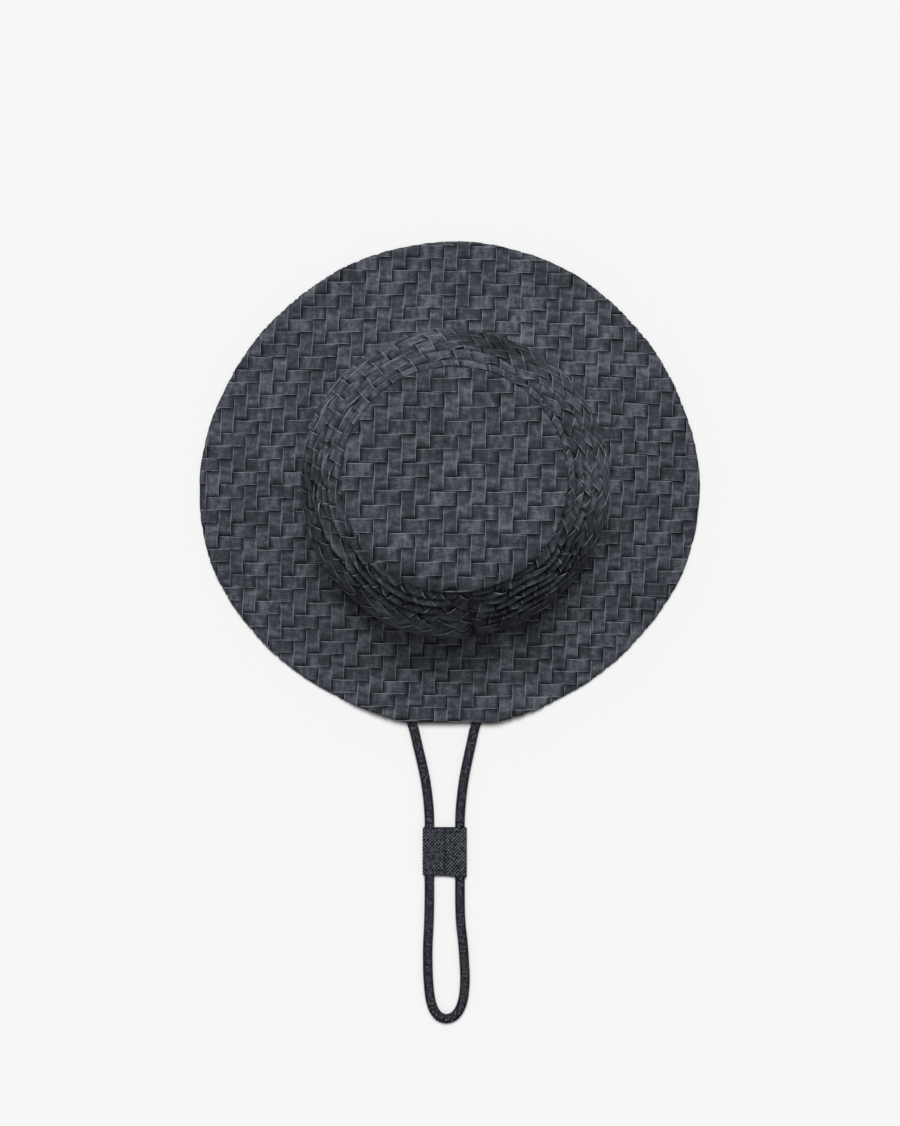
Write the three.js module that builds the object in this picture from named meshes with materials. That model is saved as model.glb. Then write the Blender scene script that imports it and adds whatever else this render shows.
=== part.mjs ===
// A packable sun hat woven from flat strips, with a chin strap and its sliding keeper.
// Millimetres, +Z up, +Y towards the front of the hat. The hem of the brim rests on z = 0.
import * as THREE from "three";

// Woven cloth and sewing
const WEAVE_THICKNESS = 1.4;
const SEWN_GAP = 0.3;
const TAPE_THICKNESS = 0.8;

// Brim, measured out from the middle of the crown
const BRIM_MEAN_RADIUS = 152.7;
// Each ripple of the outline: waves per turn, height, angle of its crest in degrees
const BRIM_RIPPLES = [
  [1, 2.8, 160],
  [2, 2.5, 12],
  [3, 0.9, -117],
  [4, 1.1, 5],
  [5, 0.6, -77],
];
const BRIM_BACK_FLAT = 147.8;
const BRIM_ROOT_TOP = 18;
const BRIM_ROOT_LEDGE = 3;
const BRIM_EDGE_SLOPE = 0.35;
const BRIM_WAVE_HEIGHT = 1;
const HEM_WIDTH = 11;
const HEM_THICKNESS = 2 * WEAVE_THICKNESS;
const HEM_ROUNDING = 0.6;

// The hem is lifted a little at the back, where the strap passes under it
const LIFT_MIDDLE = 268;
const LIFT_HALF_WIDTH = 15;
const LIFT_FADE = 14;
const LIFT_REACH_INWARD = 0.6;

// Crown
const CROWN_BASE_RADIUS = 92.6;
const CROWN_BULGE_RADIUS = 93.6;
const CROWN_BULGE_HEIGHT = 36;
const CROWN_TIP_RADIUS = 66.3;
const CROWN_TOP = 84;
const SHOULDER_RISE = 16;
const SHOULDER_RUN = 10;
const SHOULDER_DROP = 5;
const BACK_SEAM_ANGLE = 277;
const BACK_SEAM_GAP_DEGREES = 0.3;

// Bindings and sweatband
const TIP_BINDING_WIDTH = 7.5;
const BACK_BINDING_WIDTH = 10;
const BACK_BINDING_END_GAP = 3;
const SWEATBAND_HEIGHT = 27;
const SWEATBAND_THICKNESS = 1;
const SWEATBAND_JOIN_WIDTH = 16;

// Chin strap: one flat braid sewn in at both sides of the crown
const STRAP_WIDTH = 5.8;
const STRAP_THICKNESS = 1.5;
const STRAP_CORNER = 0.6;
const STRAP_ANCHOR_HEIGHT = 16.5;
const STRAP_DESCENT = 29;
const STRAP_STEP = 11;
const STRAP_BEND_STEP = 2.8;
const STRAP_BEND_START = 321;

// Through the keeper the two legs run parallel, this far apart
const LEG_SPACING = 19.2;
const LEG_MIDDLE = -3;
const LEFT_RUN = LEG_MIDDLE - LEG_SPACING / 2;
const RIGHT_RUN = LEG_MIDDLE + LEG_SPACING / 2;

// Where the strap leaves the brim and how its two legs lie on the floor, left then right
const LEFT_LEG = [
  [-71, -50],
  [-59, -76],
  [-44, -106],
  [-30.5, -134],
  [-22.9, -152],
  [-19.9, -164],
  [-17.3, -175],
  [-15, -186],
  [-13.4, -198],
  [LEFT_RUN, -209],
  [LEFT_RUN, -230],
  [LEFT_RUN, -265],
  [-13, -278],
  [-13.6, -292],
  [-13.2, -311],
  [-11.8, -323],
  [-9.6, -329.5],
  [-6.4, -333.4],
];
const LOOP_END = [-1.9, -334.9];
const RIGHT_LEG = [
  [2.6, -333.4],
  [6, -329.5],
  [8.4, -323],
  [9.6, -311],
  [9.2, -299],
  [8.2, -286],
  [7.1, -276],
  [RIGHT_RUN, -265],
  [RIGHT_RUN, -230],
  [RIGHT_RUN, -209],
  [7.4, -198],
  [8.9, -186],
  [11, -175],
  [13.4, -164],
  [16.2, -152],
  [24, -134],
  [39, -106],
  [57, -76],
  [74, -50],
];

// Tabs that hold the ends of the strap on the sweatband
const TAB_WIDTH = 8;
const TAB_THICKNESS = 1.2;
const TAB_TOP = 31;
const TAB_BOTTOM = 12.5;
const TAB_CLEARANCE = 0.4;
const TACK_WIDTH = 6;
const TACK_HEIGHT = 2;
const TACK_THICKNESS = 0.6;
const TACK_DROP = 3;

// Sliding keeper: a flattened webbing sleeve with a channel for each leg
const KEEPER_LEG_CLEARANCE = 0.55;
const KEEPER_LENGTH = 29.5;
const KEEPER_WALL = 0.7;
const KEEPER_WEB = 1.6;
const KEEPER_CORNER = 1.1;
const KEEPER_Y = -230.3;
const STITCH_WIDTH = 0.9;
const STITCH_THICKNESS = 0.4;
const STITCH_INSET = 1.2;

// How finely the curved pieces are cut
const RING_STEPS = 72;
const WALL_STEPS = 4;
const BRIM_STEPS = 5;

// Sizes that follow from the ones above
const channelHeight = STRAP_THICKNESS + 2 * SEWN_GAP;
const strapMiddle = KEEPER_WALL + channelHeight / 2;
const keeperHeight = channelHeight + 2 * KEEPER_WALL;
const keeperWidth = LEG_SPACING + STRAP_WIDTH + 2 * (KEEPER_LEG_CLEARANCE + KEEPER_WALL);
const hemLift = strapMiddle + STRAP_THICKNESS / 2 + SEWN_GAP;
const crownFoot = BRIM_ROOT_TOP + SEWN_GAP;
const sweatbandInnerRadius = CROWN_BASE_RADIUS - WEAVE_THICKNESS - SEWN_GAP - SWEATBAND_THICKNESS;
const brimInnerRadius = sweatbandInnerRadius;
const brimLedgeRadius = CROWN_BASE_RADIUS + BRIM_ROOT_LEDGE;

function radians(degrees) {
  return degrees * Math.PI / 180;
}

function outlineRadius(angle) {
  let radius = BRIM_MEAN_RADIUS;
  for (const [waves, height, crest] of BRIM_RIPPLES) {
    radius += height * Math.cos(waves * angle - radians(crest));
  }
  const backward = -Math.sin(angle);
  if (backward * radius > BRIM_BACK_FLAT) {
    radius = BRIM_BACK_FLAT / backward;
  }
  return radius;
}

// The crown stands where the outline's own middle comes to the origin
function findCrownCentre() {
  const box = new THREE.Box2();
  for (let i = 0; i < RING_STEPS; i += 1) {
    const angle = 2 * Math.PI * i / RING_STEPS;
    const radius = outlineRadius(angle);
    box.expandByPoint(new THREE.Vector2(radius * Math.cos(angle), radius * Math.sin(angle)));
  }
  return box.getCenter(new THREE.Vector2()).negate();
}

const crownCentre = findCrownCentre();

function onRing(angle, radius, height) {
  return new THREE.Vector3(
    crownCentre.x + radius * Math.cos(angle),
    crownCentre.y + radius * Math.sin(angle),
    height,
  );
}

function bodyFrom(points, triangles) {
  const positions = new Float32Array(points.length * 3);
  points.forEach((point, i) => point.toArray(positions, i * 3));
  let volume = 0;
  for (const [a, b, c] of triangles) {
    volume += points[a].dot(new THREE.Vector3().crossVectors(points[b], points[c]));
  }
  const facing = volume > 0 ? triangles : triangles.map(([a, b, c]) => [a, c, b]);
  const geometry = new THREE.BufferGeometry();
  geometry.setAttribute("position", new THREE.BufferAttribute(positions, 3));
  geometry.setIndex(facing.flat());
  geometry.computeVertexNormals();
  return geometry;
}

// A shell swept round the crown. Each section is a front row of points and a back row.
function sweepRound(sectionAt, angles, closed) {
  const points = [];
  const triangles = [];
  let size = 0;
  let half = 0;
  for (const angle of angles) {
    const { front, back } = sectionAt(angle);
    half = front.length;
    size = front.length + back.length;
    points.push(...front, ...[...back].reverse());
  }
  const spans = closed ? angles.length : angles.length - 1;
  for (let i = 0; i < spans; i += 1) {
    const here = i * size;
    const next = ((i + 1) % angles.length) * size;
    for (let k = 0; k < size; k += 1) {
      const after = (k + 1) % size;
      triangles.push([here + k, next + k, next + after]);
      triangles.push([here + k, next + after, here + after]);
    }
  }
  if (!closed) {
    const last = (angles.length - 1) * size;
    for (let k = 0; k < half - 1; k += 1) {
      const mirror = size - 1 - k;
      triangles.push([k, k + 1, mirror - 1]);
      triangles.push([k, mirror - 1, mirror]);
      triangles.push([last + k, last + mirror - 1, last + k + 1]);
      triangles.push([last + k, last + mirror, last + mirror - 1]);
    }
  }
  return bodyFrom(points, triangles);
}

function fullTurn(steps) {
  return Array.from({ length: steps }, (_, i) => 2 * Math.PI * i / steps);
}

function partTurn(startDegrees, endDegrees, steps) {
  const turn = endDegrees - startDegrees;
  return Array.from({ length: steps + 1 }, (_, i) => radians(startDegrees + turn * i / steps));
}

function angularWidth(width, radius) {
  return width / radius * 180 / Math.PI;
}

// The outer face of the side band from its foot to the tip seam, as radius and height
function wallOuterProfile() {
  const profile = [];
  for (let i = 0; i < WALL_STEPS; i += 1) {
    const share = i / WALL_STEPS;
    const swell = Math.sin(share * Math.PI / 2);
    const radius = CROWN_BASE_RADIUS + (CROWN_BULGE_RADIUS - CROWN_BASE_RADIUS) * swell;
    const height = crownFoot + (CROWN_BULGE_HEIGHT - crownFoot) * share;
    profile.push(new THREE.Vector2(radius, height));
  }
  const shoulder = new THREE.CubicBezierCurve(
    new THREE.Vector2(CROWN_BULGE_RADIUS, CROWN_BULGE_HEIGHT),
    new THREE.Vector2(CROWN_BULGE_RADIUS, CROWN_BULGE_HEIGHT + SHOULDER_RISE),
    new THREE.Vector2(CROWN_TIP_RADIUS + SHOULDER_RUN, CROWN_TOP - SHOULDER_DROP),
    new THREE.Vector2(CROWN_TIP_RADIUS, CROWN_TOP),
  );
  profile.push(...shoulder.getPoints(WALL_STEPS + 2));
  return profile;
}

// The same profile moved inwards by a depth, square to the cloth
function wallProfile(depth) {
  const outer = wallOuterProfile();
  return outer.map((point, i) => {
    const before = outer[Math.max(i - 1, 0)];
    const after = outer[Math.min(i + 1, outer.length - 1)];
    const along = after.clone().sub(before).normalize();
    const inwards = new THREE.Vector2(-along.y, along.x);
    if (i === 0) {
      inwards.set(-1, 0);
    }
    return point.clone().addScaledVector(inwards, depth);
  });
}

// A profile cut to the part of it between two heights
function cutProfile(profile, low, high) {
  const cut = [];
  for (let i = 0; i < profile.length; i += 1) {
    const point = profile[i];
    const previous = profile[i - 1];
    if (previous) {
      for (const level of [low, high]) {
        if (previous.y < level && point.y > level) {
          cut.push(previous.clone().lerp(point, (level - previous.y) / (point.y - previous.y)));
        }
      }
    }
    if (point.y >= low && point.y <= high) {
      cut.push(point);
    }
  }
  return cut.sort((a, b) => a.y - b.y);
}

function resample(profile, count) {
  const path = new THREE.Path(profile);
  return path.getSpacedPoints(count);
}

function wallSection(outerDepth, innerDepth, low, high, count) {
  const outer = resample(cutProfile(wallProfile(outerDepth), low, high), count);
  const inner = resample(cutProfile(wallProfile(innerDepth), low, high), count);
  return (angle) => ({
    front: outer.map((point) => onRing(angle, point.x, point.y)),
    back: inner.map((point) => onRing(angle, point.x, point.y)),
  });
}

// Side band, open at the back seam
function makeSideBand() {
  const outer = wallProfile(0);
  const inner = wallProfile(WEAVE_THICKNESS);
  const sectionAt = (angle) => ({
    front: outer.map((point) => onRing(angle, point.x, point.y)),
    back: inner.map((point) => onRing(angle, point.x, point.y)),
  });
  const start = BACK_SEAM_ANGLE + BACK_SEAM_GAP_DEGREES / 2;
  const end = BACK_SEAM_ANGLE + 360 - BACK_SEAM_GAP_DEGREES / 2;
  return sweepRound(sectionAt, partTurn(start, end, RING_STEPS), false);
}

function tipEdgeRadius() {
  const inner = wallProfile(WEAVE_THICKNESS);
  return inner[inner.length - 1].x - SEWN_GAP;
}

function makeTip() {
  const edge = tipEdgeRadius();
  const low = CROWN_TOP - WEAVE_THICKNESS;
  const profile = [
    new THREE.Vector2(0, low),
    new THREE.Vector2(edge, low),
    new THREE.Vector2(edge, CROWN_TOP),
    new THREE.Vector2(0, CROWN_TOP),
  ];
  const geometry = new THREE.LatheGeometry(profile, RING_STEPS);
  geometry.rotateX(Math.PI / 2);
  geometry.translate(crownCentre.x, crownCentre.y, 0);
  return geometry;
}

function makeTipBinding() {
  const outer = tipEdgeRadius() - SEWN_GAP;
  const inner = outer - TIP_BINDING_WIDTH;
  const high = CROWN_TOP - WEAVE_THICKNESS - SEWN_GAP;
  const low = high - TAPE_THICKNESS;
  const sectionAt = (angle) => ({
    front: [onRing(angle, inner, high), onRing(angle, outer, high)],
    back: [onRing(angle, inner, low), onRing(angle, outer, low)],
  });
  return sweepRound(sectionAt, fullTurn(RING_STEPS), true);
}

function makeBackBinding() {
  const front = WEAVE_THICKNESS + SEWN_GAP;
  const low = crownFoot + SWEATBAND_HEIGHT + BACK_BINDING_END_GAP;
  const high = CROWN_TOP - WEAVE_THICKNESS - TAPE_THICKNESS - BACK_BINDING_END_GAP;
  const half = angularWidth(BACK_BINDING_WIDTH, CROWN_BASE_RADIUS) / 2;
  const sectionAt = wallSection(front, front + TAPE_THICKNESS, low, high, WALL_STEPS);
  const angles = partTurn(BACK_SEAM_ANGLE - half, BACK_SEAM_ANGLE + half, 3);
  return sweepRound(sectionAt, angles, false);
}

function makeSweatband() {
  const depth = WEAVE_THICKNESS + SEWN_GAP;
  const high = crownFoot + SWEATBAND_HEIGHT;
  const sectionAt = wallSection(depth, depth + SWEATBAND_THICKNESS, crownFoot, high, WALL_STEPS);
  const start = BACK_SEAM_ANGLE + BACK_SEAM_GAP_DEGREES / 2;
  const end = BACK_SEAM_ANGLE + 360 - BACK_SEAM_GAP_DEGREES / 2;
  return sweepRound(sectionAt, partTurn(start, end, RING_STEPS), false);
}

function makeSweatbandJoin() {
  const depth = WEAVE_THICKNESS + SWEATBAND_THICKNESS + 2 * SEWN_GAP;
  const high = crownFoot + SWEATBAND_HEIGHT;
  const sectionAt = wallSection(depth, depth + TAPE_THICKNESS, crownFoot, high, WALL_STEPS);
  const half = angularWidth(SWEATBAND_JOIN_WIDTH, CROWN_BASE_RADIUS) / 2;
  return sweepRound(sectionAt, partTurn(BACK_SEAM_ANGLE - half, BACK_SEAM_ANGLE + half, 4), false);
}

// How far the hem is raised at an angle round the crown
function liftAt(angle) {
  let away = Math.abs(THREE.MathUtils.euclideanModulo(angle * 180 / Math.PI - LIFT_MIDDLE + 180, 360) - 180);
  away = Math.max(0, away - LIFT_HALF_WIDTH);
  const fade = THREE.MathUtils.clamp(1 - away / LIFT_FADE, 0, 1);
  return hemLift * THREE.MathUtils.smoothstep(fade, 0, 1);
}

// Height of the brim's top face. The share is 0 at the inside of the hem and 1 at the ledge.
function brimTop(angle, share) {
  const rise = BRIM_EDGE_SLOPE * share + (1 - BRIM_EDGE_SLOPE) * share * share;
  const wave = Math.sin(2 * angle + 0.7) + 0.6 * Math.sin(5 * angle + 2);
  const lift = liftAt(angle) * THREE.MathUtils.smoothstep(1 - share, 1 - LIFT_REACH_INWARD, 1);
  return HEM_THICKNESS
    + (BRIM_ROOT_TOP - HEM_THICKNESS) * rise
    + BRIM_WAVE_HEIGHT * wave * 4 * share * share * (1 - share)
    + lift;
}

function makeBrim() {
  const sectionAt = (angle) => {
    const edge = outlineRadius(angle);
    const fold = edge - HEM_WIDTH;
    const lift = liftAt(angle);
    const front = [onRing(angle, brimInnerRadius, BRIM_ROOT_TOP)];
    const back = [onRing(angle, brimInnerRadius, BRIM_ROOT_TOP - WEAVE_THICKNESS)];
    for (let i = 0; i <= BRIM_STEPS; i += 1) {
      const share = 1 - i / BRIM_STEPS;
      const radius = fold + (brimLedgeRadius - fold) * share;
      const height = brimTop(angle, share);
      front.push(onRing(angle, radius, height));
      back.push(onRing(angle, radius, height - WEAVE_THICKNESS));
    }
    front.push(onRing(angle, edge - HEM_ROUNDING, HEM_THICKNESS + lift));
    front.push(onRing(angle, edge, HEM_THICKNESS - HEM_ROUNDING + lift));
    back.push(onRing(angle, fold, lift));
    back.push(onRing(angle, edge - HEM_ROUNDING, lift));
    front.push(onRing(angle, edge, HEM_ROUNDING + lift));
    return { front, back };
  };
  return sweepRound(sectionAt, fullTurn(RING_STEPS), true);
}

// Tabs and tacks, on the left side for -1 and the right side for 1
function tabFace(side) {
  const sagitta = TAB_WIDTH * TAB_WIDTH / 8 / sweatbandInnerRadius;
  return crownCentre.x + side * (sweatbandInnerRadius - SEWN_GAP - sagitta);
}

function boxBetween(x1, x2, y1, y2, z1, z2) {
  const geometry = new THREE.BoxGeometry(Math.abs(x2 - x1), Math.abs(y2 - y1), Math.abs(z2 - z1));
  geometry.translate((x1 + x2) / 2, (y1 + y2) / 2, (z1 + z2) / 2);
  return geometry;
}

function makeTab(side) {
  const outer = tabFace(side);
  const inner = outer - side * TAB_THICKNESS;
  const half = TAB_WIDTH / 2;
  return boxBetween(outer, inner, crownCentre.y - half, crownCentre.y + half, TAB_BOTTOM, TAB_TOP);
}

function makeTack(side) {
  const outer = tabFace(side) - side * (TAB_THICKNESS + SEWN_GAP);
  const inner = outer - side * TACK_THICKNESS;
  const half = TACK_WIDTH / 2;
  const high = TAB_TOP - TACK_DROP;
  return boxBetween(outer, inner, crownCentre.y - half, crownCentre.y + half, high - TACK_HEIGHT, high);
}

function strapEnd(side) {
  const inset = TAB_THICKNESS + TAB_CLEARANCE + STRAP_WIDTH / 2;
  return new THREE.Vector3(tabFace(side) - side * inset, crownCentre.y, STRAP_ANCHOR_HEIGHT);
}

// From the tab the strap falls towards the back until it reaches its height on the floor
function strapFall(side) {
  const end = strapEnd(side);
  const halfway = new THREE.Vector3(
    end.x - side * 0.8,
    end.y - STRAP_DESCENT / 2,
    (end.z + strapMiddle) / 2,
  );
  const landed = new THREE.Vector3(end.x - side * 3.2, end.y - STRAP_DESCENT, strapMiddle + 0.6);
  return [end, halfway, landed];
}

// A curve for a flat braid: its broad side stays level, with shorter steps round the end of the loop
class FlatBraidCurve extends THREE.CatmullRomCurve3 {
  getSpacedPoints() {
    const fine = super.getPoints(4000);
    const chosen = [fine[0]];
    let travelled = 0;
    for (let i = 1; i < fine.length; i += 1) {
      travelled += fine[i].distanceTo(fine[i - 1]);
      const step = fine[i].y < -STRAP_BEND_START ? STRAP_BEND_STEP : STRAP_STEP;
      if (travelled >= step) {
        chosen.push(fine[i]);
        travelled = 0;
      }
    }
    if (travelled > STRAP_BEND_STEP) {
      chosen.push(fine[fine.length - 1]);
    } else {
      chosen[chosen.length - 1] = fine[fine.length - 1];
    }
    return chosen;
  }

  computeFrenetFrames() {
    const points = this.getSpacedPoints();
    const frames = { tangents: [], normals: [], binormals: [] };
    const up = new THREE.Vector3(0, 0, 1);
    points.forEach((point, i) => {
      const before = points[Math.max(i - 1, 0)];
      const after = points[Math.min(i + 1, points.length - 1)];
      const tangent = after.clone().sub(before).normalize();
      const normal = new THREE.Vector3().crossVectors(up, tangent).normalize();
      frames.tangents.push(tangent);
      frames.normals.push(normal);
      frames.binormals.push(new THREE.Vector3().crossVectors(tangent, normal));
    });
    return frames;
  }
}

function braidSection() {
  const x = STRAP_WIDTH / 2;
  const y = STRAP_THICKNESS / 2;
  return new THREE.Shape([
    new THREE.Vector2(x, -y / 2),
    new THREE.Vector2(x, y / 2),
    new THREE.Vector2(x - STRAP_CORNER, y),
    new THREE.Vector2(STRAP_CORNER - x, y),
    new THREE.Vector2(-x, y / 2),
    new THREE.Vector2(-x, -y / 2),
    new THREE.Vector2(STRAP_CORNER - x, -y),
    new THREE.Vector2(x - STRAP_CORNER, -y),
  ]);
}

function makeStrap() {
  const flat = ([x, y]) => new THREE.Vector3(x, y, strapMiddle);
  const route = [
    ...strapFall(-1),
    ...LEFT_LEG.map(flat),
    flat(LOOP_END),
    ...RIGHT_LEG.map(flat),
    ...strapFall(1).reverse(),
  ];
  const curve = new FlatBraidCurve(route, false, "centripetal");
  const steps = curve.getSpacedPoints().length - 1;
  return new THREE.ExtrudeGeometry(braidSection(), { steps, extrudePath: curve });
}

function roundedRectangle(shape, x1, x2, y1, y2, corner) {
  shape.moveTo(x1 + corner, y1);
  shape.lineTo(x2 - corner, y1);
  shape.quadraticCurveTo(x2, y1, x2, y1 + corner);
  shape.lineTo(x2, y2 - corner);
  shape.quadraticCurveTo(x2, y2, x2 - corner, y2);
  shape.lineTo(x1 + corner, y2);
  shape.quadraticCurveTo(x1, y2, x1, y2 - corner);
  shape.lineTo(x1, y1 + corner);
  shape.quadraticCurveTo(x1, y1, x1 + corner, y1);
  return shape;
}

function makeKeeper() {
  const half = keeperWidth / 2;
  const low = KEEPER_WALL;
  const high = KEEPER_WALL + channelHeight;
  const rounding = KEEPER_CORNER - KEEPER_WALL;
  const section = roundedRectangle(new THREE.Shape(), -half, half, 0, keeperHeight, KEEPER_CORNER);
  for (const side of [-1, 1]) {
    const middle = side * KEEPER_WEB / 2;
    const wall = side * (half - KEEPER_WALL);
    const [x1, x2] = side < 0 ? [wall, middle] : [middle, wall];
    section.holes.push(roundedRectangle(new THREE.Path(), x1, x2, low, high, rounding));
  }
  const geometry = new THREE.ExtrudeGeometry(section, {
    depth: KEEPER_LENGTH,
    bevelEnabled: false,
    curveSegments: 3,
  });
  geometry.rotateX(Math.PI / 2);
  geometry.translate(LEG_MIDDLE, KEEPER_Y + KEEPER_LENGTH / 2, 0);
  return geometry;
}

function makeKeeperStitch() {
  const low = keeperHeight + SEWN_GAP;
  const half = KEEPER_LENGTH / 2 - STITCH_INSET;
  return boxBetween(
    LEG_MIDDLE - STITCH_WIDTH / 2,
    LEG_MIDDLE + STITCH_WIDTH / 2,
    KEEPER_Y - half,
    KEEPER_Y + half,
    low,
    low + STITCH_THICKNESS,
  );
}

const hat = new THREE.Group();
hat.name = "straw_sun_hat";

function addPiece(name, geometry, color, roughness) {
  const mesh = new THREE.Mesh(geometry, new THREE.MeshStandardMaterial({ color, roughness }));
  mesh.name = name;
  hat.add(mesh);
}

addPiece("crown_tip", makeTip(), 0x44474e, 0.85);
addPiece("crown_side_band", makeSideBand(), 0x3e4147, 0.85);
addPiece("brim", makeBrim(), 0x43464d, 0.85);
addPiece("tip_seam_binding", makeTipBinding(), 0x24262a, 0.95);
addPiece("back_seam_binding", makeBackBinding(), 0x25272b, 0.95);
addPiece("sweatband", makeSweatband(), 0x1f2125, 0.9);
addPiece("sweatband_join", makeSweatbandJoin(), 0x222428, 0.9);
addPiece("anchor_tab_left", makeTab(-1), 0x2a2c31, 0.9);
addPiece("anchor_tab_right", makeTab(1), 0x2a2c31, 0.9);
addPiece("anchor_tack_left", makeTack(-1), 0x1a1b1e, 0.8);
addPiece("anchor_tack_right", makeTack(1), 0x1a1b1e, 0.8);
addPiece("chin_strap", makeStrap(), 0x26282d, 0.9);
addPiece("keeper_sleeve", makeKeeper(), 0x393c41, 0.9);
addPiece("keeper_stitch", makeKeeperStitch(), 0x2b2d32, 0.8);

export default hat;
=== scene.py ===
"""A packable sun hat of woven flat strips, with its chin strap and sliding keeper.

Everything is worked out in millimetres in the frame's own axes and stored in metres.
"""

import math

import bpy
import numpy as np
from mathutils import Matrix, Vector


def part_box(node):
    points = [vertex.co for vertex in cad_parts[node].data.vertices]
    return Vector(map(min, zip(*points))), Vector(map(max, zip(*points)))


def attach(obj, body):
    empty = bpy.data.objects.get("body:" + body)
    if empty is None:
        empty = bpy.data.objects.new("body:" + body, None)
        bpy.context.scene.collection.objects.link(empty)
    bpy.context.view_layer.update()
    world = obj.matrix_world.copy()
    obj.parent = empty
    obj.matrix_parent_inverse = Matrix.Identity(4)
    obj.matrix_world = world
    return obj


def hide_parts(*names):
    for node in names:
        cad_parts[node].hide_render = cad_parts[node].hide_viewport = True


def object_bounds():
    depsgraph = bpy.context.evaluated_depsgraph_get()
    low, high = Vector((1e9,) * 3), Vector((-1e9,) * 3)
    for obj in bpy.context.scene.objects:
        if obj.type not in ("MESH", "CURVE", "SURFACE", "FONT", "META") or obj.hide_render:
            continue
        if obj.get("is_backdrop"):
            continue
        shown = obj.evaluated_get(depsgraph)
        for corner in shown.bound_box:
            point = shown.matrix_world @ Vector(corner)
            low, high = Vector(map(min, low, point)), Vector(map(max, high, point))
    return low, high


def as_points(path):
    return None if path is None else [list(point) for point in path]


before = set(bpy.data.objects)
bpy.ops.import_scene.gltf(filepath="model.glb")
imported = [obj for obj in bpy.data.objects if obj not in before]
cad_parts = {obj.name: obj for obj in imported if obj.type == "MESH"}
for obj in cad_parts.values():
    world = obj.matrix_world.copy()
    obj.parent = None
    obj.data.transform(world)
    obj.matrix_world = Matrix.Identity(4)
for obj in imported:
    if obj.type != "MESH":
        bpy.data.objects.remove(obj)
cad_low, cad_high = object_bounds()
MM = 0.001
rng = np.random.default_rng(20)


def cad_box(node):
    low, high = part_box(node)
    return np.array(low) / MM, np.array(high) / MM


# ---------------------------------------------------------------- camera

SENSOR_WIDTH = 36
CAMERA_PLACE = (0.3, -50.6, 1150)
FIELD_HEIGHT = 703.75  # from the top to the bottom of the picture, at floor level

camera_data = bpy.data.cameras.new("camera")
camera = bpy.data.objects.new("camera", camera_data)
bpy.context.scene.collection.objects.link(camera)
camera_data.sensor_width = SENSOR_WIDTH
camera_data.lens = SENSOR_WIDTH * CAMERA_PLACE[2] / FIELD_HEIGHT
camera_data.clip_start = 0.05
camera_data.clip_end = 20
camera.location = tuple(v * MM for v in CAMERA_PLACE)
camera.rotation_euler = (0, 0, 0)
bpy.context.scene.camera = camera


# ---------------------------------------------------------------- mesh helpers


def make_mesh(name, points, quads, uv=None, floats=None):
    """A mesh object from points in millimetres and an array of four-cornered faces."""
    points = np.asarray(points, float).reshape(-1, 3)
    quads = np.asarray(quads, np.int32).reshape(-1, 4)
    used, index = np.unique(quads, return_inverse=True)
    points = points[used]
    quads = index.reshape(-1, 4).astype(np.int32)
    mesh = bpy.data.meshes.new(name)
    mesh.vertices.add(len(points))
    mesh.vertices.foreach_set("co", (points * MM).astype(np.float32).ravel())
    mesh.loops.add(quads.size)
    mesh.loops.foreach_set("vertex_index", quads.ravel())
    mesh.polygons.add(len(quads))
    mesh.polygons.foreach_set("loop_start", np.arange(0, quads.size, 4, dtype=np.int32))
    mesh.polygons.foreach_set("use_smooth", np.ones(len(quads), bool))
    if uv is not None:
        layer = mesh.uv_layers.new(name="cloth")
        layer.data.foreach_set("uv", np.asarray(uv, np.float32)[used][quads.ravel()].ravel())
    for key, values in (floats or {}).items():
        attribute = mesh.attributes.new(key, "FLOAT", "POINT")
        attribute.data.foreach_set("value", np.asarray(values, np.float32)[used])
    mesh.update(calc_edges=True)
    mesh.validate()
    thing = bpy.data.objects.new(name, mesh)
    bpy.context.scene.collection.objects.link(thing)
    return thing


def grid_quads(rows, columns, closed=False):
    """Faces of a rows by columns grid of points. closed joins the last column to the first."""
    r = np.arange(rows - 1)[:, None]
    c = np.arange(columns if closed else columns - 1)[None, :]
    n = (c + 1) % columns
    return np.stack(
        [r * columns + c, r * columns + n, (r + 1) * columns + n, (r + 1) * columns + c], -1
    ).reshape(-1, 4)


def join_parts(parts):
    """Joins (points, quads, uv, floats) parts into one of each."""
    start = 0
    quads = []
    for points, faces, _, _ in parts:
        quads.append(faces + start)
        start += len(points)
    floats = {k: np.concatenate([p[3][k] for p in parts]) for k in parts[0][3]}
    uv = np.concatenate([p[2] for p in parts])
    return np.concatenate([p[0] for p in parts]), np.concatenate(quads), uv, floats


def smoothstep(x, low=0.0, high=1.0):
    t = np.clip((x - low) / (high - low), 0, 1)
    return t * t * (3 - 2 * t)


def bump_at(x, middle, width):
    return np.exp(-(((x - middle) / width) ** 2))


def window(x, start, end, fade):
    return smoothstep(x, start, start + fade) * (1 - smoothstep(x, end - fade, end))


# ---------------------------------------------------------------- the hat's own shape

tip_low, tip_high = cad_box("crown_tip")
CENTRE = (tip_low[:2] + tip_high[:2]) / 2
TIP_RADIUS = (tip_high[0] - tip_low[0]) / 2
CROWN_TOP = tip_high[2]
WEAVE_THICKNESS = tip_high[2] - tip_low[2]
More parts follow.
